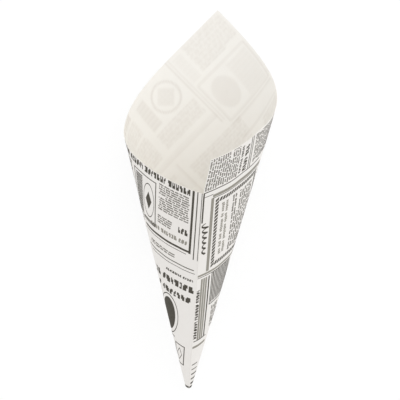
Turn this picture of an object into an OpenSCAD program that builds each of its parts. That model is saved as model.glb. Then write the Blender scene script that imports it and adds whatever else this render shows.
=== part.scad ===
/* [Sheet] */
// Edge of the sheet that runs down the ridge under the overlap, from the point where the roll would close
edge_under = 189; // [160:1:220]
// How far the free front corner stands above that edge, measured along the ridge
corner_rise = 29; // [12:1:45]
// Width of the glued strip that carries on under the ridge, at the rim
glue_strip = 12; // [6:1:20]
// How much of the sheet's corner is cut away at the tip, along either edge
tip_trim = 9; // [6:1:24]
// Thickness of the paper wall
paper_t = 0.3; // [0.2:0.05:0.5]

/* [Roll] */
// Bending radius of the two front panels, 100 mm from the tip
front_radius = 61; // [48:1:80]
// Length of paper in each tightly rolled side, 100 mm from the tip
side_arc = 43.5; // [36:0.5:48]
// Width of the flat along the back that the cone rests on, 100 mm from the tip
rest_flat = 7; // [5:0.5:12]

/* [Print] */
// What one unit of the print's layout measures
page_unit = 1; // [0.8:0.05:1.2]
// Thickness of the printed film
ink_t = 0.06; // [0.04:0.01:0.1]
// Unprinted margin along the cut edges of the sheet
bleed = 0.5; // [0.3:0.1:2]
// Distance from one line of text to the next
line_pitch = 2.8; // [2.4:0.1:5]
// Height of a line of text
line_h = 1.2; // [1:0.1:1.6]
// Thickness of the heavy rules
heavy_rule = 2; // [1.2:0.1:3]
// Thickness of the fine rules
fine_rule = 0.8; // [0.5:0.1:1.2]
// Height of the letter row of a headline
headline_h = 5; // [4:0.5:7]
// Height of the letter row of a small heading
heading_h = 2.6; // [2:0.1:3.2]

/* [Smoothness] */
// Bend of the wall from one flat strip to the next, in degrees
bend_step = 5; // [4:0.5:9]

/* [Hidden] */
GAUGE = 100;                                 // distance from the tip at which the roll is measured
SHEET_TURN = 90;                             // the sheet's right angle is rolled once round
HALF_TURN = SHEET_TURN / 2;
edge_over = edge_under + corner_rise;        // the free edge, seen on the ridge
flat_half = atan(rest_flat / 2 / GAUGE);
side_turn = side_arc / GAUGE * 180 / PI;
front_turn = HALF_TURN - flat_half - side_turn;
front_curl = GAUGE / front_radius;
corner_turn = atan(edge_over / edge_under);  // where the sheet's far corner lies
strip_turn = asin(glue_strip / edge_under);
seam_sink = paper_t / edge_under;            // the under panel passes one thickness below the free edge
PAPER_COLOUR = [0.93, 0.92, 0.89];
INK_COLOUR = [0.24, 0.23, 0.21];
SNAP = 0.001;                                // closer than this to a fold line counts as on it

// Rolling the sheet.
// A frame is [along the wall from the tip, round the wall, into the cone]. It is turned about the axis of a
// circular cone, so each stretch of the wall is part of such a cone and all stretches meet without a kink.
function turned(v, axis, angle) =
    v * cos(angle) + cross(axis, v) * sin(angle) + axis * (axis * v) * (1 - cos(angle));
function rolled(frame, curl, turn) =
    let (w = sqrt(1 + curl * curl), axis = (frame[2] + curl * frame[0]) / w)
    [for (v = frame) turned(v, axis, w * turn)];

// Half of the wall, from the middle of the back to the ridge: the flat, the rolled side and the front panel
BACK_FRAME = [[0, 1, 0], [-1, 0, 0], [0, 0, 1]];
FLAT_END = rolled(BACK_FRAME, 0, flat_half);
function ridge_offset(side_curl) =
    rolled(rolled(FLAT_END, side_curl, side_turn), front_curl, front_turn)[0].x;

// The sides are curled just so much that both front panels end on the ridge
function bisected(low, high, steps = 40) =
    let (mid = (low + high) / 2)
    steps == 0 ? mid
    : ridge_offset(mid) < 0 ? bisected(mid, high, steps - 1) : bisected(low, mid, steps - 1);
side_curl = bisected(1.5, 8);
SIDE_END = rolled(FLAT_END, side_curl, side_turn);

// How sharply the wall is rolled, at a turn from the middle of the back
function curl_at(turn) = turn < flat_half ? 0 : turn < flat_half + side_turn ? side_curl : front_curl;
function half_wall(turn) =
    turn < flat_half ? rolled(BACK_FRAME, 0, turn)[0]
    : turn < flat_half + side_turn ? rolled(FLAT_END, side_curl, turn - flat_half)[0]
    : rolled(SIDE_END, front_curl, turn - flat_half - side_turn)[0];

// Direction of the wall's straight line at a turn of the sheet: 0 is the under edge, 90 the free edge.
// Near its edge the under panel dips below the free edge that lies on it.
function direction(turn) =
    let (d = half_wall(abs(turn - HALF_TURN)), dip = max(0, 1 - turn / front_turn) * seam_sink)
    turn < HALF_TURN ? d - [0, 0, dip] : [-d.x, d.y, d.z];

// Turns at which the wall is folded into narrow flat strips: first the marks that the shape needs
function sorted(v) = len(v) < 2 ? v
    : concat(sorted([for (n = v) if (n < v[0]) n]), [v[0]], sorted([for (n = v) if (n > v[0]) n]));
FLAT_FROM = HALF_TURN - flat_half;
FLAT_TO = HALF_TURN + flat_half;
MARKS = sorted([0, front_turn, FLAT_FROM, FLAT_TO, corner_turn,
    SHEET_TURN - front_turn, SHEET_TURN - strip_turn, SHEET_TURN]);
TURNS = concat(
    [for (m = [0:len(MARKS) - 2])
        let (
            gap = MARKS[m + 1] - MARKS[m],
            curl = curl_at(abs(MARKS[m] + gap / 2 - HALF_TURN)),
            count = curl == 0 ? 1 : max(1, round(gap * sqrt(1 + curl * curl) / bend_step)))
        for (i = [0:count - 1]) MARKS[m] + gap * i / count],
    [SHEET_TURN]);
LAST = len(TURNS) - 1;
function index_of(turn) = len([for (t = TURNS) if (t < turn - SNAP) t]);
STRIP_AT = index_of(SHEET_TURN - strip_turn);
DIRS = [for (t = TURNS) direction(t)];

function unit(v) = v / norm(v);
STRIP_NORMALS = [for (i = [0:LAST - 1]) unit(cross(DIRS[i], DIRS[i + 1]))];
function mitred(a, b) = (a + b) / (1 + a * b);
// Outward offset at each fold that keeps both strips beside it one unit up
OUTWARD = [for (i = [0:LAST])
    i == 0 ? STRIP_NORMALS[0]
    : i == LAST ? STRIP_NORMALS[LAST - 1]
    : mitred(STRIP_NORMALS[i - 1], STRIP_NORMALS[i])];

// The sheet's outline as distances from the point where the roll would close
function tip_at(turn) = tip_trim / max(cos(turn), sin(turn));
function rim_at(turn) = turn < corner_turn ? edge_under / cos(turn) : edge_over / sin(turn);
// The glued seam ends here, and above it the wall is open at the ridge
function seam_top_at(turn) = rim_at(turn) - corner_rise * turn / SHEET_TURN;

// The object lies on its back, centred over its own length and width
RIM = [for (i = [0:LAST]) DIRS[i] * rim_at(TURNS[i])];
TIP = [for (i = [0:LAST]) DIRS[i] * tip_at(TURNS[i])];
CENTRE = [
    (min([for (p = RIM) p.x]) + max([for (p = RIM) p.x])) / 2,
    (min([for (p = TIP) p.y]) + max([for (p = RIM) p.y])) / 2,
    0];
module lying_down() { translate(-CENTRE) children(); }

// The paper is one folded and glued sheet. Its points are kept in rows: outside, inside and under the glued
// strip, each at the tip, at the top of the seam and at the rim.
module paper_cone() {
    // Both panels and the glued strip meet under the ridge in one inner corner
    function inner_corner(reach) =
        DIRS[0] * reach - mitred(OUTWARD[0], OUTWARD[LAST]) * paper_t;
    function outside(reaches) = [for (i = [0:LAST]) DIRS[i] * reaches[i]];
    function inside(reaches, depth) = [for (i = [0:LAST])
        i == 0 ? inner_corner(reaches[0]) : DIRS[i] * reaches[i] - OUTWARD[i] * depth];

    tips = [for (t = TURNS) tip_at(t)];
    seams = [for (t = TURNS) seam_top_at(t)];
    rims = [for (t = TURNS) rim_at(t)];
    rows = [
        outside(tips), outside(seams), outside(rims),
        inside(tips, paper_t), inside(seams, paper_t), inside(rims, paper_t),
        inside(tips, 2 * paper_t), inside(seams, 2 * paper_t)];
    points = [for (row = rows) each row];
    function at(row, i) = row * (LAST + 1) + i;

    // Corners that two rows share are named once
    function tip_out(i) = at(0, i);
    function seam_out(i) = at(1, i);
    function rim_out(i) = i == 0 ? seam_out(0) : at(2, i);
    function tip_in(i) = at(3, i);
    function seam_in(i) = i == LAST ? seam_out(0) : at(4, i);
    function rim_in(i) = i == 0 ? seam_in(0) : at(5, i);
    function tip_strip(i) = i == LAST ? tip_in(0) : at(6, i);
    function seam_strip(i) = i == LAST ? seam_in(0) : at(7, i);

    outer_faces = [for (i = [0:LAST - 1]) each [
        [tip_out(i), tip_out(i + 1), seam_out(i + 1), seam_out(i)],
        i == 0
            ? [seam_out(0), seam_out(1), rim_out(1)]
            : [seam_out(i), seam_out(i + 1), rim_out(i + 1), rim_out(i)]]];
    inner_faces = [for (i = [0:LAST - 1]) each [
        i < STRIP_AT
            ? [tip_in(i + 1), tip_in(i), seam_in(i), seam_in(i + 1)]
            : [tip_strip(i + 1), tip_strip(i), seam_strip(i), seam_strip(i + 1)],
        i == 0
            ? [seam_in(1), seam_in(0), rim_in(1)]
            : [seam_in(i + 1), seam_in(i), rim_in(i), rim_in(i + 1)]]];
    rim_faces = [for (i = [0:LAST - 1]) [rim_out(i), rim_out(i + 1), rim_in(i + 1), rim_in(i)]];
    tip_faces = [for (i = [0:LAST - 1])
        i < STRIP_AT ? [tip_out(i + 1), tip_out(i), tip_in(i), tip_in(i + 1)]
        : i == STRIP_AT ? [tip_out(i + 1), tip_out(i), tip_in(i), tip_strip(i), tip_strip(i + 1)]
        : [tip_out(i + 1), tip_out(i), tip_strip(i), tip_strip(i + 1)]];
    strip_top = [for (i = [STRIP_AT:LAST - 1])
        [seam_in(i), seam_in(i + 1), seam_strip(i + 1), seam_strip(i)]];
    edge_faces = [
        [tip_out(LAST), tip_out(0), seam_out(0), seam_out(LAST)],
        [tip_out(0), tip_out(LAST), tip_in(0)],
        [seam_out(LAST), seam_in(LAST), rim_in(LAST), rim_out(LAST)],
        [tip_in(STRIP_AT), seam_in(STRIP_AT), seam_strip(STRIP_AT), tip_strip(STRIP_AT)]];

    color(PAPER_COLOUR)
        lying_down()
            polyhedron(points, concat(outer_faces, inner_faces, rim_faces, tip_faces, strip_top, edge_faces));
}

// The print.
// It is set out on the flat sheet: x runs up the page from the free edge, and y across it from the under edge,
// so lines of text run along y. The pattern was on the paper before the sheet was cut, so its places don't
// follow the sheet's size, and what passes the cut edges is lost. Each field is a convex outline, and fields
// stay clear of each other, with a hairline gap where two rules meet at a corner. Places are in page units,
// and the thickness of a rule and the height of a line are in millimetres.
HAIRLINE = 0.3;
function bar(x0, x1, y0, y1) = [[x0, y0], [x1, y0], [x1, y1], [x0, y1]];
function block(x0, x1, y0, y1) = page_unit * bar(x0, x1, y0, y1);
function rule_up(y, x0, x1, t) =
    bar(x0 * page_unit, x1 * page_unit, y * page_unit - t / 2, y * page_unit + t / 2);
function rule_across(x, y0, y1, t) =
    bar(x * page_unit - t / 2, x * page_unit + t / 2, y0 * page_unit, y1 * page_unit);
function frame(x0, x1, y0, y1, t) =
    let (low = page_unit * [x0, y0], high = page_unit * [x1, y1], inset = t + HAIRLINE)
    [
        bar(low.x, low.x + t, low.y, high.y), bar(high.x - t, high.x, low.y, high.y),
        bar(low.x + inset, high.x - inset, low.y, low.y + t),
        bar(low.x + inset, high.x - inset, high.y - t, high.y)];
// A column of text fills its place from the top, and its last line stops short
function text_lines(x0, x1, y0, y1) =
    let (low = page_unit * [x0, y0], high = page_unit * [x1, y1], count = floor((high.x - low.x) / line_pitch))
    [for (i = [0:count - 1])
        let (top = high.x - i * line_pitch, short = i == count - 1 ? (high.y - low.y) / 3 : 0)
        bar(top - line_h, top, low.y + short, high.y)];
// A headline is a row of blocks of differing width, as set words are
WORDS = [9, 14, 6, 11, 8];
WORD_GAP = 2;
function words(from, to, i = 0) =
    let (w = min(WORDS[i % len(WORDS)], to - from))
    w < WORD_GAP ? [] : concat([[from, from + w]], words(from + w + WORD_GAP, to, i + 1));
function headline(x0, y0, y1, h) = [for (w = page_unit * words(y0, y1))
    bar(x0 * page_unit, x0 * page_unit + h, w[0], w[1])];
function oval(x, y, rx, ry, count = 14) =
    page_unit * [for (i = [0:count - 1]) [x + rx * cos(360 * i / count), y + ry * sin(360 * i / count)]];

seam_rules = [
    rule_up(1.2, 129, 200, fine_rule), rule_up(4.4, 129, 200, fine_rule), rule_up(7.8, 133, 200, heavy_rule)];
first_column = concat(
    headline(183.2, 12, 116, headline_h),
    text_lines(157, 182, 12, 36),
    headline(147.5, 12, 34, headline_h),
    headline(139.5, 12, 36, heading_h),
    frame(139, 180, 39, 66, heavy_rule),
    [block(146, 173, 46, 59)],
    [rule_across(134.5, 10.5, 53, heavy_rule)],
    headline(123, 20, 45, line_h),
    [rule_across(119.5, 3, 48, fine_rule)],
    headline(108.5, 3, 30, line_h),
    headline(98.5, 2, 41, headline_h),
    headline(88.5, 4, 39, headline_h),
    [oval(67, 24, 16, 9)],
    frame(28, 46, 6, 16, fine_rule));
second_column = concat(
    text_lines(140, 182, 72, 112),
    text_lines(92, 128, 58, 110),
    headline(80, 60, 110, headline_h),
    text_lines(50, 76, 60, 110),
    [block(17, 34, 84, 108)],
    text_lines(17, 42, 58, 80),
    [for (i = [0:2]) rule_across(4.5 + 2 * i, 56, 111, fine_rule)],
    [rule_across(12, 56, 111, heavy_rule), rule_up(53.5, 1, 14, fine_rule)],
    headline(1, 56, 92, line_h));
third_column = concat(
    frame(142, 180, 121, 160, fine_rule),
    [oval(161, 140.5, 13, 13)],
    [rule_up(164, 140, 200, fine_rule)],
    text_lines(66, 126, 122, 176),
    frame(12, 61, 119, 179, heavy_rule),
    text_lines(17, 56, 129, 174),
    [for (y = [134:10:154]) oval(4.5, y, 2.5, 4)],
    [rule_up(115, 1, 60, heavy_rule), rule_up(48, 1, 14, heavy_rule)]);
last_column = concat(
    [rule_up(183.5, 0, 66, heavy_rule), rule_up(189, 0, 62, fine_rule)],
    text_lines(2, 34, 192, 217),
    headline(37, 192, 217, 0.8 * headline_h),
    [rule_across(45.5, 191, 230, fine_rule), rule_across(48.5, 191, 230, fine_rule)],
    text_lines(52, 112, 192, 216),
    headline(118, 186, 216, headline_h),
    [block(145, 168, 169, 214)],
    headline(173, 169, 214, headline_h));
tip_lines = concat(
    [for (y = [24:4:36]) rule_up(y, 1.5, 7, fine_rule)],
    [rule_across(11, 0.8, 4.5, heavy_rule), rule_up(11, 0.8, 4.5, heavy_rule)]);
PRINT = concat(seam_rules, first_column, second_column, third_column, last_column, tip_lines);

// Cuts a convex outline along a line, and keeps what lies to the side that the normal points away from.
// A corner nearly on the line counts as on it, and is kept by both sides.
function room_before(p, normal, reach) = let (room = reach - normal * p) abs(room) < SNAP ? 0 : room;
function cut(outline, normal, reach) =
    let (rooms = [for (p = outline) room_before(p, normal, reach)])
    [for (i = [0:len(outline) - 1])
        let (j = (i + 1) % len(outline), a = rooms[i], b = rooms[j])
        each concat(
            a >= 0 ? [outline[i]] : [],
            a * b < 0 ? [outline[i] + (outline[j] - outline[i]) * a / (a - b)] : [])];
function past(turn) = [sin(turn), -cos(turn)];
function between(outline, from, to) = cut(cut(outline, past(from), 0), -past(to), 0);
function trimmed(outline) =
    cut(cut(cut(outline, [1, 0], edge_under - bleed), [0, 1], edge_over - bleed), [-1, 0], -bleed);

// Each printed field lies on the flat strips of the wall that it crosses, with one part on each. The flat that
// the cone rests on and the strips beside it stay bare, so that no film reaches below them, and a field there
// is made as two films. A piece is [outline, its strip, first strip of the film, last strip of the film].
BARE_STRIPS = 2;
SIDES = [[0, index_of(FLAT_FROM) - 1 - BARE_STRIPS], [index_of(FLAT_TO) + BARE_STRIPS, LAST - 1]];
fields = [for (outline = PRINT, side = SIDES)
    let (parts = [for (i = [side[0]:side[1]])
        let (part = between(trimmed(outline), TURNS[i], TURNS[i + 1]))
        if (len(part) > 2) [part, i]])
    if (len(parts) > 0) parts];
pieces = [for (parts = fields, part = parts) [part[0], part[1], parts[0][1], parts[len(parts) - 1][1]]];

// Where a corner of a part lies: the fold it is on, or -1, and its places on the wall and on top of the film
function fold_of(p, strip) =
    abs(past(TURNS[strip]) * p) < SNAP ? strip : abs(past(TURNS[strip + 1]) * p) < SNAP ? strip + 1 : -1;
function rounded(v) = round(v / SNAP / SNAP) * SNAP * SNAP;
function on_wall(p, strip) =
    let (fold = fold_of(p, strip), u = TURNS[strip], v = TURNS[strip + 1])
    fold >= 0 ? DIRS[fold] * rounded(norm(p))
    : (DIRS[strip] * (p.x * sin(v) - p.y * cos(v)) + DIRS[strip + 1] * (p.y * cos(u) - p.x * sin(u)))
        / sin(v - u);
function lifted(p, strip) =
    let (fold = fold_of(p, strip))
    on_wall(p, strip) + ink_t * (fold >= 0 ? OUTWARD[fold] : STRIP_NORMALS[strip]);

function running_total(counts) =
    [for (i = 0, sum = 0; i <= len(counts); sum = sum + (i < len(counts) ? counts[i] : 0), i = i + 1) sum];

module printed_ink() {
    starts = running_total([for (p = pieces) 2 * len(p[0])]);
    points = [for (p = pieces) each concat(
        [for (c = p[0]) on_wall(c, p[1])],
        [for (c = p[0]) lifted(c, p[1])])];
    // Two pieces of a field share the fold between them, and have no wall there
    function joined(p, i, j) =
        let (a = fold_of(p[0][i], p[1]), b = fold_of(p[0][j], p[1]))
        a >= 0 && a == b && a > p[2] && a <= p[3];
    faces = [for (k = [0:len(pieces) - 1])
        let (p = pieces[k], n = len(p[0]), low = starts[k], high = low + n)
        each concat(
            [[for (i = [0:n - 1]) low + i], [for (i = [n - 1:-1:0]) high + i]],
            [for (i = [0:n - 1])
                let (j = (i + 1) % n)
                if (!joined(p, i, j)) [low + j, low + i, high + i, high + j]])];
    color(INK_COLOUR)
        lying_down()
            polyhedron(points, faces);
}

paper_cone();
printed_ink();
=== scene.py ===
# %% [markdown]
# A paper cone bag
#
# The real bag is one rectangular sheet of greaseproof paper. It is printed while it lies flat, cut, rolled
# once round so that one of its right angles becomes the point of the cone, and glued along the front ridge.
# This lesson makes it in that order: the flat sheet first, then the print on it, and then one bend that
# rolls them both. The other way, modelling a cone and wrapping a picture round it, needs an image and gives
# a print that stretches where the paper curves. A sheet that is only bent never stretches, so every printed
# line keeps its true width.

# %% Load the fixed frame
import math
import random

import bpy
import numpy as np
from mathutils import Matrix, Vector


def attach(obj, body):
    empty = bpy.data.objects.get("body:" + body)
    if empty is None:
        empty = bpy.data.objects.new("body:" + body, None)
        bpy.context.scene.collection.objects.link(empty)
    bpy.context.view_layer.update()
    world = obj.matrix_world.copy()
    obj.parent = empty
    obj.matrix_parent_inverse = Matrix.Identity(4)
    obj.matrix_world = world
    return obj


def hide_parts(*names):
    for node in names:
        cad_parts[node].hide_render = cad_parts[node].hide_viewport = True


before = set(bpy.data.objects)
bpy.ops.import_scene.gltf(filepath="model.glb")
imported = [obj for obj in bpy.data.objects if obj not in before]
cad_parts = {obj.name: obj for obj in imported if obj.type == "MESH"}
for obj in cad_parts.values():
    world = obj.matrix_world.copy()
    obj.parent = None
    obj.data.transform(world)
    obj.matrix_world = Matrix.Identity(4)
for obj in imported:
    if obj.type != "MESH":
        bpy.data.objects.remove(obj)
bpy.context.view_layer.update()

# %% [markdown]
# The sheet and its roll
#
# A rolled sheet is described by very few numbers: the lengths of its two edges, and how tightly each
# stretch of it is bent. The back has a narrow flat that the empty bag rests on, the two sides are rolled
# tightly, and the two front panels are nearly flat and meet in a ridge. All bending is given at one
# distance from the tip, because a cone's bend grows slacker in step with that distance.

# %% Sizes of the sheet and of the roll
MM = 0.001
EDGE_UNDER = 189 * MM        # the edge that runs down the ridge, under the overlap
CORNER_RISE = 29 * MM        # how far the free corner stands above that edge
EDGE_OVER = EDGE_UNDER + CORNER_RISE
GLUE_STRIP = 12 * MM         # width of the glued strip at the rim
TIP_TRIM = 9 * MM            # the corner that is cut away at the tip
GAUGE = 100 * MM             # distance from the tip at which the roll is measured
FRONT_RADIUS = 61 * MM
SIDE_ARC = 43.5 * MM
REST_FLAT = 7 * MM
PAPER_T = 0.15 * MM          # drawn a little thicker than real greaseproof, so that its cut edge shows
QUARTER = math.pi / 2

flat_half = math.atan(REST_FLAT / 2 / GAUGE)
side_turn = SIDE_ARC / GAUGE
front_turn = QUARTER / 2 - flat_half - side_turn
front_curl = GAUGE / FRONT_RADIUS
strip_turn = math.asin(GLUE_STRIP / EDGE_UNDER)
print("sheet in mm:", round(EDGE_UNDER / MM), "x", round(EDGE_OVER / MM))

# %% [markdown]
# Rolling is a rotation that goes on and on. At any line from the tip to the rim, the wall has a frame of
# three directions: along the wall away from the tip, round the wall, and into the cone. Rolling the wall on
# turns that frame about an axis that leans between the first and the third, and the lean sets how tight the
# roll is. Only one value isn't known at the start: how tightly the sides must be rolled so that both front
# panels end on the ridge. It is found by halving an interval until the panels meet.

# %% The roll as a formula
BACK = np.array([[0.0, 1, 0], [-1, 0, 0], [0, 0, 1]])


def rolled(start, curl, turn):
    """The wall's frames after it is rolled on from a start frame, as three arrays of directions."""
    lean = math.sqrt(1 + curl * curl)
    axis = (start[2] + curl * start[0]) / lean
    angle = lean * np.asarray(turn, float)[..., None]
    return [v * np.cos(angle) + np.cross(axis, v) * np.sin(angle) + axis * (axis @ v) * (1 - np.cos(angle))
            for v in start]


flat_end = np.array([v.ravel() for v in rolled(BACK, 0, flat_half)])


def side_end_for(curl):
    return np.array([v.ravel() for v in rolled(flat_end, curl, side_turn)])


HALVINGS = 40
loose, tight = 1.5, 8.0      # the sides' roll lies between these two
for halving in range(HALVINGS):
    side_curl = (loose + tight) / 2
    beside_ridge = rolled(side_end_for(side_curl), front_curl, front_turn)[0].ravel()[0]
    loose, tight = (side_curl, tight) if beside_ridge < 0 else (loose, side_curl)
side_end = side_end_for(side_curl)
print("the sides are rolled", round(side_curl / front_curl, 2), "times as tightly as the front")


def half_wall(turn):
    """Direction from the tip and outward normal of the wall, at turns from the middle of the back."""
    direction, normal = np.empty(turn.shape + (3,)), np.empty(turn.shape + (3,))
    for start, curl, begins in (
        (BACK, 0, 0), (flat_end, side_curl, flat_half), (side_end, front_curl, flat_half + side_turn)):
        part = turn >= begins
        along, around, inward = rolled(start, curl, turn[part] - begins)
        direction[part], normal[part] = along, -inward
    return direction, normal


# %% [markdown]
# Real paper isn't a perfect cone. Its walls carry shallow folds that fan out from the tip, and the free
# corner above the glued seam springs open a little. Both are added to the same formula, so that the paper
# and the print on it can never come apart.

# %% From the flat sheet to the cone
SEAM_STEP = 0.18 * MM        # the under panel passes this far below the free edge
SEAM_EASE = 4 * MM           # and comes down to it over this width
FOLD_HEIGHT = 0.07 * MM      # of the strongest wave in the folds, at the gauge distance
# Each wave: its share of that height, how often it comes round the wall, where it starts, and its slant
FOLD_WAVES = ((1, 31, 0.4, 0), (0.7, 53, 2.1, 6), (0.5, 17, 0, -9))
FOLDS_FROM = math.radians(9)     # turn from the middle of the back at which the folds begin
FOLDS_FULL = math.radians(20)    # and at which they have their whole height
RIDGE_FADE = math.radians(7)     # turn over which they fade at the ridge
CORNER_OPENS = math.radians(0.8)
CORNER_LIFTS = 1.2 * MM
CORNER_FROM = math.radians(66)   # turn at which the free corner starts to open
CORNER_DEPTH = 4 * MM            # how far below the top of the seam it starts


def eased(value, low, high):
    """Runs smoothly from 0 at low to 1 at high."""
    t = np.clip((value - low) / (high - low), 0, 1)
    return t * t * (3 - 2 * t)


def shallow_folds(turn, distance):
    """Height of the folds that fan out from the tip. They fade at the ridge and on the resting flat."""
    off_back = np.abs(turn - QUARTER / 2)
    fade = eased(off_back, FOLDS_FROM, FOLDS_FULL) * eased(QUARTER / 2 - off_back, 0, RIDGE_FADE)
    waves = sum(share * np.sin(often * turn + start + slant * distance / GAUGE)
                for share, often, start, slant in FOLD_WAVES)
    return FOLD_HEIGHT * fade * waves * distance / GAUGE


def on_rolled_wall(points, lift):
    """Where points of the flat sheet lie on the cone, measured from the point where its tip would close."""
    x, y = points[:, 0], points[:, 1]
    distance, sheet_turn = np.hypot(x, y), np.arctan2(y, x)
    under = sheet_turn < 0
    turn = np.where(under, sheet_turn + QUARTER, sheet_turn)
    free = eased(distance, EDGE_UNDER - CORNER_DEPTH, EDGE_OVER) * eased(turn, CORNER_FROM, QUARTER) * ~under
    seam = SEAM_STEP * np.where(under, 1, np.clip(1 - y / SEAM_EASE, 0, 1) * (sheet_turn < QUARTER / 2))
    height = lift - seam + shallow_folds(turn, distance) + CORNER_LIFTS * free
    turn = turn - CORNER_OPENS * free
    direction, normal = half_wall(np.abs(turn - QUARTER / 2))
    right = turn > QUARTER / 2
    direction[right, 0] *= -1
    normal[right, 0] *= -1
    return direction * distance[:, None] + normal * height[:, None]


RIM_STEPS = 720


def centre_of_cone():
    """The bag lies on its back, centred over its own length and width, as the CAD model does."""
    corner = math.atan2(EDGE_OVER, EDGE_UNDER)
    turns = np.append(np.linspace(0, QUARTER, RIM_STEPS + 1), corner)
    reach = 1 / np.maximum(np.cos(turns) / EDGE_UNDER, np.sin(turns) / EDGE_OVER)
    direction = half_wall(np.abs(turns - QUARTER / 2))[0]
    direction[turns > QUARTER / 2, 0] *= -1
    rim = direction * reach[:, None]
    lowest = (direction[0] * TIP_TRIM)[1]
    return np.array([(rim[:, 0].min() + rim[:, 0].max()) / 2, (lowest + rim[:, 1].max()) / 2, 0])


CENTRE = centre_of_cone()


def roll_up(piece, lift=0.0):
    """Rolls a flat piece that lies on the sheet, at a height above the paper's outer face."""
    placed = on_rolled_wall(point_places(piece), lift) - CENTRE
    piece.data.vertices.foreach_set("co", placed.ravel())
    piece.data.update()


print("the tip would close at", [round(-v / MM, 1) for v in CENTRE], "mm")

# %% [markdown]
# Working by hand, in code
#
# Each operator of Blender acts on what is selected. So one small helper makes a piece the only selected
# one, and another deletes faces that are chosen by their place.

# %% Selecting and deleting
def only(*pieces):
    bpy.ops.object.select_all(action="DESELECT")
    for piece in pieces:
        piece.select_set(True)
    bpy.context.view_layer.objects.active = pieces[0]


def face_centres(piece):
    centres = np.empty(len(piece.data.polygons) * 3)
    piece.data.polygons.foreach_get("center", centres)
    return centres.reshape(-1, 3)


def point_places(piece):
    places = np.empty(len(piece.data.vertices) * 3)
    piece.data.vertices.foreach_get("co", places)
    return places.reshape(-1, 3)


def corner_places(piece):
    """The place of every corner of every face, face by face."""
    numbers = np.empty(len(piece.data.loops), int)
    piece.data.loops.foreach_get("vertex_index", numbers)
    return point_places(piece)[numbers]


def pick_faces(piece, chosen):
    mesh = piece.data
    mesh.vertices.foreach_set("select", np.zeros(len(mesh.vertices), bool))
    mesh.edges.foreach_set("select", np.zeros(len(mesh.edges), bool))
    mesh.polygons.foreach_set("select", np.asarray(chosen, bool))


def delete_faces(piece, chosen):
    only(piece)
    pick_faces(piece, chosen)
    bpy.context.tool_settings.mesh_select_mode = (False, False, True)
    bpy.ops.object.mode_set(mode="EDIT")
    bpy.ops.mesh.delete(type="FACE")
    bpy.ops.object.mode_set(mode="OBJECT")


def flat_grid(x0, x1, y0, y1, columns, rows):
    """A flat rectangle on the sheet, in equal cells. Its size is applied, so its object is plain."""
    bpy.ops.object.select_all(action="DESELECT")
    bpy.ops.mesh.primitive_grid_add(
        x_subdivisions=columns, y_subdivisions=rows, size=1, location=((x0 + x1) / 2, (y0 + y1) / 2, 0))
    piece = bpy.context.object
    piece.scale = (x1 - x0, y1 - y0, 1)
    bpy.ops.object.transform_apply(location=True, rotation=True, scale=True)
    return piece


# %% [markdown]
# The flat sheet
#
# The sheet starts as a grid primitive, because a sheet that will be bent needs points all over it. It is
# then cut as a guillotine would cut it: bisect lines score it along the ridge and at the tip, the corner at
# the tip is taken out, and the glued strip is trimmed to a taper. Its flat places are kept as a UV map, so
# that the paper's own texture follows the paper round the roll.

# %% Cut the sheet
SHEET_CELL = 1.25 * MM
FINE_CORNER = 34 * MM        # cells are halved this near to the tip, where the roll is tightest
COLUMNS = round(EDGE_UNDER / SHEET_CELL)
ROWS = round((EDGE_OVER + GLUE_STRIP) / SHEET_CELL)

sheet = flat_grid(0, EDGE_UNDER, -GLUE_STRIP, EDGE_OVER, COLUMNS, ROWS)
sheet.name = "greaseproof_sheet"


def score(piece, point, across, cut_away=False):
    """Scores all of a flat piece along a line, and may cut away what lies on the far side of it."""
    only(piece)
    bpy.ops.object.mode_set(mode="EDIT")
    bpy.ops.mesh.select_all(action="SELECT")
    bpy.ops.mesh.bisect(plane_co=point, plane_no=across, clear_outer=cut_away)
    bpy.ops.object.mode_set(mode="OBJECT")


score(sheet, (0, 0, 0), (0, 1, 0))
score(sheet, (TIP_TRIM, 0, 0), (1, 0, 0))
score(sheet, (0, TIP_TRIM, 0), (0, 1, 0))
score(sheet, (0, 0, 0), (-math.sin(strip_turn), -math.cos(strip_turn), 0), cut_away=True)
places = face_centres(sheet)
delete_faces(sheet, (places[:, 0] < TIP_TRIM) & (places[:, 1] < TIP_TRIM))

places = face_centres(sheet)
pick_faces(sheet, (places[:, 0] < FINE_CORNER) & (places[:, 1] < FINE_CORNER))
bpy.ops.object.mode_set(mode="EDIT")
bpy.ops.mesh.subdivide(number_cuts=1)
bpy.ops.object.mode_set(mode="OBJECT")

DECIMETRE = 0.1              # one unit of the UV map
sheet_uv = sheet.data.uv_layers.active or sheet.data.uv_layers.new()
sheet_uv.name = "sheet"
sheet_uv.data.foreach_set("uv", (corner_places(sheet)[:, :2] / DECIMETRE).ravel())
print("flat sheet:", len(sheet.data.polygons), "faces")

# %% [markdown]
# The print
#
# The real paper is printed like an old newspaper page, in one warm black. Here it is a generic page:
# columns of small type, rows of bold type, rules, frames and plain ornaments, none of which can be read.
# Ink is modelled as very thin pieces that lie on the sheet, because at this size a texture would blur and
# geometry stays sharp. All of them are made flat, in the sheet's own places, and filed in three layers:
# bold print, small type and grey.

# %% Blocks and rules
PRINT_CELL = 1.3 * MM
HEAVY = 1.7 * MM             # thickness of each kind of rule
MEDIUM = 1.2 * MM
FINE = 0.75 * MM
HAIR = 0.45 * MM
printed = {"bold_print": [], "small_type": [], "grey_print": []}


def cell_numbers(piece, columns, rows):
    """Column and row of each face of a flat grid."""
    places = face_centres(piece)[:, :2]
    low = np.array(piece.bound_box[0][:2])
    high = np.array(piece.bound_box[6][:2])
    number = ((places - low) / (high - low) * (columns, rows)).astype(int)
    return np.minimum(number[:, 0], columns - 1), np.minimum(number[:, 1], rows - 1)


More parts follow.
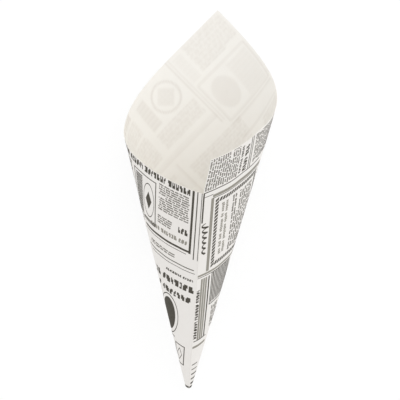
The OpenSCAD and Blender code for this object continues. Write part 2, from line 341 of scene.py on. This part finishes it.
def block(x0, x1, y0, y1, layer="bold_print"):
    """A solid printed block, in cells that are short enough to follow the roll. Its places are in mm."""
    x0, x1, y0, y1 = x0 * MM, min(x1 * MM, EDGE_UNDER), y0 * MM, min(y1 * MM, EDGE_OVER)
    piece = flat_grid(
        x0, x1, y0, y1, max(1, round((x1 - x0) / PRINT_CELL)), max(1, round((y1 - y0) / PRINT_CELL)))
    printed[layer].append(piece)


def rule_up(y, x0, x1, thick=HEAVY, layer="bold_print"):
    half = thick / MM / 2
    block(x0, x1, y - half, y + half, layer)


def rule_across(x, y0, y1, thick=HEAVY, layer="bold_print"):
    half = thick / MM / 2
    block(x - half, x + half, y0, y1, layer)


def ruled_frame(x0, x1, y0, y1, thick=HEAVY, layer="bold_print"):
    wide = thick / MM
    rule_across(x0 + wide / 2, y0, y1, thick, layer)
    rule_across(x1 - wide / 2, y0, y1, thick, layer)
    rule_up(y0 + wide / 2, x0 + wide, x1 - wide, thick, layer)
    rule_up(y1 - wide / 2, x0 + wide, x1 - wide, thick, layer)


def hatching(x0, x1, y0, y1, pitch=1.9, thick=0.9, layer="bold_print"):
    """Parallel strokes that run along y, as an engraver fills a shaded part."""
    for stroke in range(int((x1 - x0) / pitch)):
        rule_across(x0 + (stroke + 0.5) * pitch, y0, y1, thick * MM, layer)


print("kinds of rule in mm:", [round(thick / MM, 2) for thick in (HEAVY, MEDIUM, FINE, HAIR)])

# %% [markdown]
# Small type
#
# A column of type is thousands of marks. They aren't placed one by one: a grid has one cell for each
# letter, cells are deleted for the gaps between words, and every cell that is left is inset by itself, so
# that it shrinks to a mark of its own. The inset is equal all round, and type has wide gaps between lines
# and narrow ones between letters. So the grid is made squeezed across the lines, inset, and then stretched
# back. Last, some marks are drawn up or down, as tall letters are.

# %% Part the cells of a grid
LETTER_PITCH = 0.8 * MM
LETTER_GAP = 0.2 * MM
LINE_PITCH = 1.95 * MM
LETTER_HEIGHT = 1.0 * MM
SQUEEZE = (LINE_PITCH - LETTER_HEIGHT) / LETTER_GAP
print("the type's grid is squeezed to 1 /", round(SQUEEZE, 2))


def part_cells(piece, gap):
    """Shrinks each cell of a grid by itself, so that a gap of this width runs between any two."""
    only(piece)
    bpy.context.tool_settings.mesh_select_mode = (False, False, True)
    bpy.ops.object.mode_set(mode="EDIT")
    bpy.ops.mesh.select_all(action="SELECT")
    bpy.ops.mesh.inset(thickness=gap / 2, use_individual=True)
    bpy.ops.mesh.select_all(action="INVERT")
    bpy.ops.mesh.delete(type="FACE")
    bpy.ops.object.mode_set(mode="OBJECT")


# %% Gaps between words, and tall letters
WORD_LENGTHS = (2, 3, 3, 4, 5, 5, 6, 7, 8)
ENDS_EARLY = 0.06            # share of the lines that stop short
EARLY_END = (0.6, 0.9)       # and where on the line they do
TALL = 0.25 * MM
TALL_SHARE = 0.28            # share of the letters that reach up
FOOT_SHARE = 0.12            # and down
dice = random.Random(12)


def word_gaps(lines, letters):
    """Which letter cells of a column stay empty, line by line. Now and then a line ends early."""
    empty = np.zeros((lines, letters), bool)
    for line in range(lines):
        at = dice.randrange(2)
        empty[line, :at] = True
        while at < letters:
            at += dice.choice(WORD_LENGTHS)
            empty[line, at:at + 1] = True
            at += 1
        if dice.random() < ENDS_EARLY:
            empty[line, round(letters * dice.uniform(*EARLY_END)):] = True
    return empty


def stretch_letters(piece, share, reach):
    """Draws the top of some letters up, or their foot down where reach is below nought."""
    mesh = piece.data
    picked = set()
    for face in mesh.polygons:
        if dice.random() < share:
            middle = face.center.x
            picked.update(v for v in face.vertices if (mesh.vertices[v].co.x - middle) * reach > 0)
    chosen = np.zeros(len(mesh.vertices), bool)
    chosen[list(picked)] = True
    only(piece)
    pick_faces(piece, np.zeros(len(mesh.polygons), bool))
    mesh.vertices.foreach_set("select", chosen)
    bpy.context.tool_settings.mesh_select_mode = (True, False, False)
    bpy.ops.object.mode_set(mode="EDIT")
    bpy.ops.transform.translate(value=(reach, 0, 0))
    bpy.ops.object.mode_set(mode="OBJECT")


print("letters in a word, on average:", round(sum(WORD_LENGTHS) / len(WORD_LENGTHS), 1))

# %% Set a column of small type
def small_type(x0, x1, y0, y1, coarse=1.0, layer="small_type"):
    """A column of small type, in lines that run along y. A coarse column has larger type."""
    pitch, letter = LINE_PITCH * coarse, LETTER_PITCH * coarse
    x0, x1, y0, y1 = x0 * MM, min(x1 * MM, EDGE_UNDER), y0 * MM, min(y1 * MM, EDGE_OVER)
    lines, letters = max(1, int((x1 - x0) / pitch)), max(1, int((y1 - y0) / letter))
    piece = flat_grid(0, lines * pitch / SQUEEZE, 0, letters * letter, lines, letters)
    line, place = cell_numbers(piece, lines, letters)
    delete_faces(piece, word_gaps(lines, letters)[line, place])
    part_cells(piece, LETTER_GAP * coarse)
    only(piece)
    piece.scale = (SQUEEZE, 1, 1)
    piece.location = (x1 - lines * pitch, y0, 0)
    bpy.ops.object.transform_apply(location=True, rotation=True, scale=True)
    for share, reach in ((TALL_SHARE, TALL), (FOOT_SHARE, -TALL)):
        stretch_letters(piece, share, reach * coarse)
    printed[layer].append(piece)


# %% [markdown]
# Bold type
#
# A row of bold type is a strip of cells, four high, that becomes a row of slabs, two to four cells wide. A
# whole column of cells is deleted between two slabs, and three between two words. Each slab also loses a
# corner or a notch. What stays is a row of heavy shapes of differing width and outline, which reads as bold
# type from a step away and as nothing from close up.

# %% Set a row of bold type
STEM = 0.8 * MM
BOLD_MARGIN = 0.3 * MM       # a row ends this far from the sheet's edge
SLABS_IN_WORD = (3, 4, 5, 6, 7)
SLAB_WIDTHS = (2, 3, 3, 3, 4)
SLAB_ROWS = 4
# Each kind of slab as the cells that are cut out of it: column from its left or right side, and rows
SLAB_CUTS = (
    ((0, (3,)), (-1, (0, 1))),
    ((0, (0,)), (-1, (3,))),
    ((0, (2, 3)),),
    ((-1, (0, 1)),),
    ((0, (3,)), (-1, (0,))),
    ((-1, (1, 2)),),
    ((0, (1,)), (-1, (3,))),
    ((1, (2, 3)),),
    ((1, (0,)), (-1, (3,))),
    ((0, (0, 1)), (-1, (3,))))


def bold_row(x0, y0, y1, high, stem=STEM, layer="bold_print"):
    """A row of heavy slabs, in words. Its foot is at x0 and it is high mm tall."""
    count = int((y1 - y0) * MM / stem)
    kept = np.zeros((SLAB_ROWS, count), bool)
    at = 0
    while at < count - 1:
        for slab in range(dice.choice(SLABS_IN_WORD)):
            wide = dice.choice(SLAB_WIDTHS)
            if at + wide > count:
                break
            kept[:, at:at + wide] = True
            for column, rows in dice.choice(SLAB_CUTS):
                for row in rows:
                    kept[row, at + column % wide] = False
            at += wide + 1
        at += 2
    top = min((x0 + high) * MM, EDGE_UNDER - BOLD_MARGIN)
    piece = flat_grid(x0 * MM, top, y0 * MM, y0 * MM + count * stem, SLAB_ROWS, count)
    row, column = cell_numbers(piece, SLAB_ROWS, count)
    delete_faces(piece, ~kept[row, column])
    printed[layer].append(piece)


print("kinds of slab:", len(SLAB_CUTS))

# %% [markdown]
# Ornaments
#
# Old pages fill their gaps with plain ornaments: ovals and lozenges in rings, a cord border and a flourish
# of the pen. Ovals start as filled circles and are inset in rings, because a disc with no points inside
# would cut through the curve of the wall. A lozenge is a circle of four corners, which is subdivided
# instead. For a ring, either is inset once, and what lies inside is deleted. A cord border is a strip of
# parted cells whose points are slid along it, so that each cell leans as a strand does. The flourish is a
# narrow strip of cells whose points are set out on both sides of a wave.

# %% Ovals and lozenges
def oval(x, y, reach_x, reach_y, ring=None, corners=36, layer="bold_print"):
    """A filled oval, or a ring of that width in mm. With four corners it is a lozenge."""
    bpy.ops.object.select_all(action="DESELECT")
    bpy.ops.mesh.primitive_circle_add(vertices=corners, radius=reach_x * MM, fill_type="NGON")
    piece = bpy.context.object
    is_lozenge = corners == 4
    cells = max(1, int(reach_x * math.cos(math.pi / corners) * MM / PRINT_CELL))
    bpy.context.tool_settings.mesh_select_mode = (False, True, True)
    bpy.ops.object.mode_set(mode="EDIT")
    bpy.ops.mesh.select_all(action="SELECT")
    if is_lozenge:
        bpy.ops.mesh.subdivide(number_cuts=cells)
        bpy.context.tool_settings.mesh_select_mode = (False, False, True)
        bpy.ops.mesh.select_all(action="SELECT")
    if ring:
        bpy.ops.mesh.inset(thickness=ring * MM)
        bpy.ops.mesh.delete(type="FACE")
    elif not is_lozenge:
        for step in range(cells):
            bpy.ops.mesh.inset(thickness=PRINT_CELL)
    bpy.ops.object.mode_set(mode="OBJECT")
    piece.scale = (1, reach_y / reach_x, 1)
    piece.location = (x * MM, y * MM, 0)
    bpy.ops.object.transform_apply(location=True, rotation=True, scale=True)
    printed[layer].append(piece)


# %% A cord border
LEAN = 0.55                  # how far a strand leans along the border for each unit across it
STRAND = 2.9 * MM            # from one strand to the next
STRAND_GAP = 0.95 * MM


def cord_border(x0, x1, y0, y1, layer="bold_print"):
    """A twisted cord along the longer side of a band."""
    runs_up = x1 - x0 > y1 - y0
    strands = round(max(x1 - x0, y1 - y0) * MM / STRAND)
    columns, rows = (strands, 1) if runs_up else (1, strands)
    piece = flat_grid(x0 * MM, x1 * MM, y0 * MM, y1 * MM, columns, rows)
    part_cells(piece, STRAND_GAP)
    along, over = (0, 1) if runs_up else (1, 0)
    middle = ((y0 + y1) if runs_up else (x0 + x1)) / 2 * MM
    for point in piece.data.vertices:
        point.co[along] += LEAN * (point.co[over] - middle)
    printed[layer].append(piece)


print("a strand leans by", round(math.degrees(math.atan(LEAN))), "degrees")

# %% A flourish of the pen
PEN_STEPS = 14               # cells of the strip for each turn of the wave
PEN_BACKSWING = 0.85         # how far the pen swings back and forth as it moves on
FIRST_SWING = 0.45           # height of the wave where it starts, as a share of its last height
THIN_STROKE = 0.3            # width of a thin stroke as a share of a thick one


def pen_flourish(x, y0, y1, swing, wide, turns, layer="bold_print"):
    """A wave that starts small and ends large, with a thick and a thin stroke in each turn."""
    piece = flat_grid(-1, 1, 0, 1, 1, turns * PEN_STEPS)
    advance = (y1 - y0) / (2 * math.pi * turns)
    for point in piece.data.vertices:
        side, t = point.co.x, point.co.y
        phase = 2 * math.pi * turns * t
        reach = swing * (FIRST_SWING + (1 - FIRST_SWING) * t ** 3)
        slope_x, slope_y = reach * math.cos(phase), advance * (1 - PEN_BACKSWING * math.sin(phase))
        stroke = (1 + THIN_STROKE - (1 - THIN_STROKE) * math.cos(phase)) / 2
        half = side * wide / 2 * stroke / math.hypot(slope_x, slope_y)
        point.co.x = (x + reach * math.sin(phase) - half * slope_y) * MM
        point.co.y = (y0 + advance * (phase + PEN_BACKSWING * math.cos(phase)) + half * slope_x) * MM
    printed[layer].append(piece)


# %% [markdown]
# The page
#
# On this page x runs up the sheet from its free edge and y across it from the glued edge, so lines of type
# run along y. All places are in mm. The page is laid out in four columns. Its main rules, rows and fields
# lie about where the CAD model's film has them, and their content is finer.

# %% Left column: what shows on the left front panel
rule_up(0.9, 129, 189, HAIR)
rule_up(4.1, 129, 189, FINE)
rule_up(7.4, 133, 189)
bold_row(183.4, 10, 116, 5.2)
small_type(157, 182, 10, 38)
bold_row(147.5, 10, 22, 5)
small_type(146, 154, 24, 38)
bold_row(139.3, 10, 46, 3.6, 0.6 * MM, "grey_print")
ruled_frame(139, 180, 40, 66, FINE)
hatching(141.5, 178, 55.5, 63.5, 1.5, 0.9)
oval(159.5, 48, 15.5, 6.2, 0.8)
oval(159.5, 48, 8, 3.4, corners=4)
rule_across(141, 41, 55, MEDIUM)
rule_across(134.5, 7, 53)
rule_across(131.6, 10, 53, HAIR)
small_type(122.5, 126.5, 20, 46)
rule_across(119.5, 3, 48, FINE)
rule_across(116.6, 2, 44, HAIR)
bold_row(108.5, 3, 30, 2, 0.5 * MM)
bold_row(98.3, 2, 41, 5.6, 1.0 * MM)
bold_row(88.3, 4, 39, 5, 1.0 * MM)
oval(68.5, 24, 18.5, 10.5, 0.9)
oval(68.5, 24, 15, 7.5)
rule_across(49.5, 17, 29, FINE)
ruled_frame(28, 46, 6, 16, FINE)
oval(37, 11, 6, 2.8, 0.7, corners=4)
print("printed pieces so far:", sum(len(pieces) for pieces in printed.values()))

# %% Second column: the left side, and the right panel near the tip
small_type(140, 181, 70, 114, 1.1)
rule_across(134.5, 56, 163, FINE)
rule_across(137, 56, 163, HAIR)
small_type(92, 128, 58, 110)
bold_row(80, 60, 110, 5)
small_type(50, 76, 60, 110)
hatching(15, 36, 84, 112, 1.9, 1.05)
ruled_frame(14, 37, 82, 113, FINE)
small_type(17, 42, 58, 80, 1.15)
hatching(3.6, 10, 54, 111, 2.1, 1.6, "grey_print")
rule_across(11.5, 54, 111, MEDIUM)
rule_up(53.5, 1, 14, FINE)
bold_row(0.6, 56, 104, 2.8, 0.6 * MM)
print("printed pieces so far:", sum(len(pieces) for pieces in printed.values()))

# %% Third column: the back and the right side
small_type(141, 156, 120, 160)
oval(171, 146, 12, 12, 1.1)
oval(171, 146, 9, 9, corners=4, layer="grey_print")
hatching(159, 184, 121, 131, 1.9, 0.9)
rule_up(163.2, 128, 189, FINE)
rule_up(165.6, 128, 189, HAIR)
rule_up(116.3, 64, 130, FINE)
small_type(66, 122, 122, 176, 1.1)
for edge in (11.5, 57.5):
    cord_border(edge, edge + 4, 118.5, 180)
for edge in (118.5, 176):
    cord_border(15.5, 57.5, edge, edge + 4)
rule_across(9, 116.5, 182, 2.6 * MM, "grey_print")
small_type(29, 55.5, 124, 174.5, 1.45)
small_type(17.5, 26, 125, 174, 2.1, "grey_print")
pen_flourish(4.1, 133, 161, 3.4, 1.5, 6)
rule_up(114.8, 0.5, 60, HEAVY, "grey_print")
rule_up(112.9, 0.5, 14, HAIR)
rule_up(48, 0.5, 14, 2 * MM, "grey_print")
print("printed pieces so far:", sum(len(pieces) for pieces in printed.values()))

# %% Last column: the top of the right panel
rule_across(0.75, 163, 189.4, MEDIUM)
rule_up(189.2, 0.3, 62, FINE)
rule_up(185.3, 0.6, 9, HAIR)
rule_up(183.6, 9, 66, 2.4 * MM, "grey_print")
rule_up(181.6, 9, 66, HAIR)
small_type(0.3, 31, 190.6, 217.6, 1.12)
bold_row(32.6, 192, 217, 2.4, 0.5 * MM)
bold_row(37.6, 191, 217, 4.6)
rule_across(44.8, 190, 217.7, FINE)
rule_across(47.0, 190, 217.7, FINE)
small_type(50, 104, 192, 217, 1.15)
rule_across(107, 168, 217, FINE)
rule_across(121, 168, 217, FINE)
ruled_frame(124, 160, 168, 216, FINE)
hatching(126, 158, 194, 214, 1.9, 1.2, "grey_print")
oval(142, 181, 13, 10, layer="grey_print")
small_type(163, 188, 179, 217)
hatching(163, 186, 168, 176, 1.9, 0.9, "grey_print")
for end, thick in ((31, FINE), (26.5, FINE), (22, 1.1 * MM), (17.5, MEDIUM), (13.2, HEAVY)):
    rule_up(end, 1.2, 7, thick)
# Two heavy bars run along both cut edges at the very tip, so that the tip is dark there.
rule_across(9.8, 0.3, 4.4, HEAVY)
rule_up(9.8, 0.3, 3.6, HEAVY)
print("printed pieces:", {layer: len(pieces) for layer, pieces in printed.items()})

# %% [markdown]
# Show-through
#
# Greaseproof paper is thin and a little translucent, so the print shows faintly on the inside, mirrored.
# How much ink lies behind each point of the sheet is worked out from the printed pieces themselves. Every
# face is taken as a few spots, halfway from its centre to each of its corners, and each spot shares its
# part of the area among the four points of the sheet's grid round it. The result is stored as a point
# attribute, which the inside's material reads. The points lie 1.25 mm apart, so edges come out soft and
# small type comes out as streaks, as both do on the real paper.

# %% Join each layer of the print while it is flat
def joined(name):
    only(*printed[name])
    bpy.ops.object.join()
    layer = bpy.context.object
    layer.name = name
    return layer


layers = {name: joined(name) for name in printed}
print("faces:", {name: len(layer.data.polygons) for name, layer in layers.items()})

# %% Weigh the ink behind each point of the sheet
GREY_COVER = 0.4             # share of the paper that the grey layer's ink covers

first = np.array([0, -GLUE_STRIP])
cell = np.array([EDGE_UNDER / COLUMNS, (EDGE_OVER + GLUE_STRIP) / ROWS])
ink_grid = np.zeros((COLUMNS + 1, ROWS + 1))
for name, layer in layers.items():
    faces = layer.data.polygons
    areas, sides = np.empty(len(faces)), np.empty(len(faces), int)
    faces.foreach_get("area", areas)
    faces.foreach_get("loop_total", sides)
    areas *= GREY_COVER if name == "grey_print" else 1
    spots = (np.repeat(face_centres(layer), sides, axis=0) + corner_places(layer)) / 2
    spots = (spots[:, :2] - first) / cell
    areas = np.repeat(areas / sides, sides)
    before = spots.astype(int)
    past = spots - before
    for step in ((0, 0), (0, 1), (1, 0), (1, 1)):
        share = np.where(step, past, 1 - past).prod(axis=1)
        np.add.at(ink_grid, tuple((before + step).T), areas * share)
ink_grid = np.minimum(ink_grid / cell.prod(), 1)

nearest = np.round((point_places(sheet)[:, :2] - first) / cell).astype(int)
ink_behind = ink_grid[nearest[:, 0], nearest[:, 1]]
sheet.data.attributes.new("ink_behind", "FLOAT", "POINT").data.foreach_set("value", ink_behind)
print("ink covers", round(100 * float(ink_behind.mean())), "% of the sheet")

# %% [markdown]
# Finishes
#
# A colour is written as it would be picked on a screen, and one function turns it into the linear values
# that the shader needs. A second adds a node with its settings and links.

# %% Colour and node helpers
def hex_colour(code):
    """An sRGB hex code as linear red, green, blue and alpha."""
    parts = [int(code[i:i + 2], 16) / 255 for i in (1, 3, 5)]
    return [p / 12.92 if p <= 0.04045 else ((p + 0.055) / 1.055) ** 2.4 for p in parts] + [1]


def add_node(tree, kind, settings=None, links=None):
    new = tree.nodes.new(kind)
    for name, value in (settings or {}).items():
        if isinstance(name, int) or name in new.inputs:
            new.inputs[name].default_value = value
        else:
            setattr(new, name, value)
    for name, source in (links or {}).items():
        tree.links.new(source, new.inputs[name])
    return new


def new_finish(name):
    """An empty material with its Principled shader."""
    finish = bpy.data.materials.new(name)
    finish.use_nodes = True
    return finish, finish.node_tree, finish.node_tree.nodes["Principled BSDF"]


def per_unit(size):
    """Scale of a noise texture on the sheet's UV map whose grains have this size."""
    return DECIMETRE / size


print("middle grey, #808080, is linear", round(hex_colour("#808080")[0], 3))

# %% [markdown]
# Greaseproof paper
#
# Greaseproof is beaten so fine that it has hardly any pores. The eye gets an off-white, slightly warm sheet
# with a soft gloss, faint clouds where the fibres lie thicker, and a very fine grain. Its refractive index
# is about that of cellulose, 1.53. The clouds are about 7 mm wide and the grain about 0.5 mm, drawn a
# little coarser than real fibres, which are too fine to show here. The inside is the same paper, given a
# touch darker colour as painted shade for the inside of the cone, with the print showing through. The cut
# edge is darker still, which is painted shade along the rim.

# %% Paper materials
CLOUD = 7 * MM
GRAIN = 0.5 * MM


def greaseproof(name, thick_colour, thin_colour, shows_through=None):
    finish, tree, shader = new_finish(name)
    place = add_node(tree, "ShaderNodeUVMap", {"uv_map": "sheet"}).outputs["UV"]
    clouds = add_node(
        tree, "ShaderNodeTexNoise", {"Scale": per_unit(CLOUD), "Detail": 3, "Roughness": 0.55},
        {"Vector": place})
    grain = add_node(
        tree, "ShaderNodeTexNoise", {"Scale": per_unit(GRAIN), "Detail": 2, "Roughness": 0.6},
        {"Vector": place})
    colour = add_node(
        tree, "ShaderNodeMix", {"data_type": "RGBA", 6: hex_colour(thick_colour), 7: hex_colour(thin_colour)},
        {0: clouds.outputs["Fac"]}).outputs[2]
    if shows_through:
        behind = add_node(tree, "ShaderNodeAttribute", {"attribute_name": "ink_behind"}).outputs["Fac"]
        colour = add_node(
            tree, "ShaderNodeMix", {"data_type": "RGBA", 7: hex_colour(shows_through)},
            {0: behind, 6: colour}).outputs[2]
    tree.links.new(colour, shader.inputs["Base Color"])
    bump = add_node(
        tree, "ShaderNodeBump", {"Strength": 0.25, "Distance": 0.02 * MM}, {"Height": grain.outputs["Fac"]})
    tree.links.new(bump.outputs["Normal"], shader.inputs["Normal"])
    shader.inputs["Roughness"].default_value = 0.5
    shader.inputs["IOR"].default_value = 1.53
    return finish


outside = greaseproof("greaseproof_outside", "#F6F3EF", "#F3EFEA")
# The inside's paper colours are painted shade: the same paper as outside, a touch darker. The show-through is
# print.
inside = greaseproof("greaseproof_inside_painted_shade", "#F1EFEA", "#EEEBE5", "#DED9D2")
# The cut edge's darker colours are painted shade along the rim.
cut_edge = greaseproof("greaseproof_cut_edge_painted_shade", "#E6E3DB", "#DDD9D0")
for finish in (outside, inside, cut_edge):
    sheet.data.materials.append(finish)
print("paper finishes:", [finish.name for finish in sheet.data.materials])

# %% [markdown]
# Ink
#
# Cold-set newspaper ink soaks in and dries matt, as a warm near-black that is uneven in patches of a
# millimetre or two. Small type takes up less of it and prints a little paler. The grey layer stands for the
# finely hatched parts of the page, whose lines are too close to draw.

# %% Ink materials
INK_PATCH = 1.4 * MM


def printing_ink(name, full_colour, thin_colour):
    finish, tree, shader = new_finish(name)
    place = add_node(tree, "ShaderNodeTexCoord").outputs["Object"]
    patches = add_node(tree, "ShaderNodeTexNoise", {"Scale": 1 / INK_PATCH, "Detail": 3}, {"Vector": place})
    colour = add_node(
        tree, "ShaderNodeMix", {"data_type": "RGBA", 6: hex_colour(full_colour), 7: hex_colour(thin_colour)},
        {0: patches.outputs["Fac"]}).outputs[2]
    tree.links.new(colour, shader.inputs["Base Color"])
    shader.inputs["Roughness"].default_value = 0.75
    shader.inputs["IOR"].default_value = 1.48
    return finish


inks = {
    "bold_print": printing_ink("news_ink", "#3B372F", "#575247"),
    "small_type": printing_ink("news_ink_fine", "#4C4840", "#6C675C"),
    "grey_print": printing_ink("grey_hatching", "#8B877D", "#A5A197")}
print("inks:", [finish.name for finish in inks.values()])

# %% [markdown]
# Rolling
#
# Now everything flat is rolled by the one formula. Solidify then gives the sheet its thickness inwards, and
# its material offsets put the inside's finish on the inner skin and the cut edge's on the rim. The ink gets
# a thickness too. It starts a little above the paper and ends inside it, so that no gap or light shows
# under it.

# %% Roll the sheet and thicken it
SMOOTH = math.radians(32)


def thickened(piece, thickness, **settings):
    only(piece)
    solid = piece.modifiers.new("thickness", "SOLIDIFY")
    solid.thickness = thickness
    solid.offset = -1
    for name, value in settings.items():
        setattr(solid, name, value)
    bpy.ops.object.modifier_apply(modifier=solid.name)


roll_up(sheet)
thickened(sheet, PAPER_T, use_even_offset=True, material_offset=1, material_offset_rim=2)
bpy.ops.object.shade_smooth_by_angle(angle=SMOOTH)
print("rolled sheet:", len(sheet.data.polygons), "faces")

# %% Roll the print
INK_RISE = {"grey_print": 0.04 * MM, "small_type": 0.05 * MM, "bold_print": 0.06 * MM}
INK_T = 0.12 * MM

for name, layer in layers.items():
    layer.data.materials.clear()
    layer.data.materials.append(inks[name])
    roll_up(layer, INK_RISE[name])
    thickened(layer, INK_T)
    bpy.ops.object.shade_smooth_by_angle(angle=SMOOTH)
    print(name, len(layer.data.polygons), "faces")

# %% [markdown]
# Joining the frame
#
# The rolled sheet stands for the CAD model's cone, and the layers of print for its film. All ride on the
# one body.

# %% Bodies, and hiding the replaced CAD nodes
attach(sheet, "root")
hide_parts("paper_cone")
for layer in layers.values():
    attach(layer, "root")
    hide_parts("printed_ink")
print("riding on root:", [piece.name for piece in (sheet, *layers.values())])

# %% [markdown]
# Floor, light and camera
#
# The photograph has a pure white ground and very soft light from all round, with a little more from the
# side that the cone opens to, which reaches down into it. So the world gives most of the light, one large
# lamp stands before the mouth, and a weaker one beside it. The floor is white card that takes a faint
# shadow. To the camera, and in reflections, most of it glows white, so that the ground is as pure as the
# photograph's. The camera looks down on the bag from far off with a long lens, which is what keeps the
# cone's taper so even in the photograph.

# %% Floor
FLOOR_SIZE = 6               # in metres, as lamps and their places are
FLOOR_DROP = 0.2 * MM        # the floor lies just clear of the ink under the back
GLOW_SHARE = 0.86            # the rest is card, and shows the shadow
GLOW = 1.03

bpy.ops.object.select_all(action="DESELECT")
bpy.ops.mesh.primitive_plane_add(size=FLOOR_SIZE, location=(0, 0, -FLOOR_DROP))
floor = bpy.context.object
floor.name = "floor"
floor_finish, tree, shader = new_finish("white_card")
shader.inputs["Base Color"].default_value = hex_colour("#F4F4F4")
shader.inputs["Roughness"].default_value = 0.9
path = add_node(tree, "ShaderNodeLightPath").outputs
mirrored = add_node(
    tree, "ShaderNodeMath", {"operation": "MAXIMUM"},
    {0: path["Is Glossy Ray"], 1: path["Is Transmission Ray"]})
seen = add_node(
    tree, "ShaderNodeMath", {"operation": "MAXIMUM"}, {0: path["Is Camera Ray"], 1: mirrored.outputs[0]})
share = add_node(tree, "ShaderNodeMath", {"operation": "MULTIPLY", 1: GLOW_SHARE}, {0: seen.outputs[0]})
glow = add_node(tree, "ShaderNodeEmission", {"Color": (1, 1, 1, 1), "Strength": GLOW})
mixed = add_node(
    tree, "ShaderNodeMixShader", None,
    {0: share.outputs[0], 1: shader.outputs["BSDF"], 2: glow.outputs["Emission"]})
tree.links.new(mixed.outputs[0], tree.nodes["Material Output"].inputs["Surface"])
floor.data.materials.append(floor_finish)
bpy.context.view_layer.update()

# %% Light
DAYLIGHT = 0.87              # strength of the light from all round
SOFTBOX_SIZE = 1
BAG_MIDDLE = Vector((0, 0, 30)) * MM
world = bpy.data.worlds.new("soft_daylight")
bpy.context.scene.world = world
world.use_nodes = True
world.node_tree.nodes["Background"].inputs["Color"].default_value = (1, 1, 1, 1)
world.node_tree.nodes["Background"].inputs["Strength"].default_value = DAYLIGHT


def softbox(name, place, power):
    """A round lamp that faces the middle of the bag."""
    bpy.ops.object.light_add(type="AREA", location=place)
    lamp = bpy.context.object
    lamp.name = name
    lamp.data.shape = "DISK"
    lamp.data.size = SOFTBOX_SIZE
    lamp.data.energy = power
    lamp.rotation_euler = (BAG_MIDDLE - lamp.location).to_track_quat("-Z", "Y").to_euler()
    print(name, "gives", power, "W")


softbox("before_the_mouth", (0, 1.6, 0.6), 10.8)
softbox("beside_the_mouth", (0.9, 1.0, 0.9), 3.5)

# %% Camera
LENS = 216
AIM = Vector((1.0, 3.3, 30)) * MM                # the place in the middle of the picture
CAMERA = Vector((-185.6, 188.2, 1752.7)) * MM    # where the camera stands
ROLL = math.radians(0.26)                        # how far it is turned about its own line of sight

back = (CAMERA - AIM).normalized()
up = (Vector((0, 1, 0)) - back * back.y).normalized()
up = Matrix.Rotation(ROLL, 3, back) @ up
right = up.cross(back)
camera_data = bpy.data.cameras.new("long_lens")
camera_data.lens = LENS
camera = bpy.data.objects.new("camera", camera_data)
bpy.context.scene.collection.objects.link(camera)
camera.matrix_world = Matrix.Translation(CAMERA) @ Matrix((right, up, back)).transposed().to_4x4()
bpy.context.scene.camera = camera
print("camera distance in m:", round((CAMERA - AIM).length, 2))
bpy.context.scene.view_settings.view_transform = "Standard"
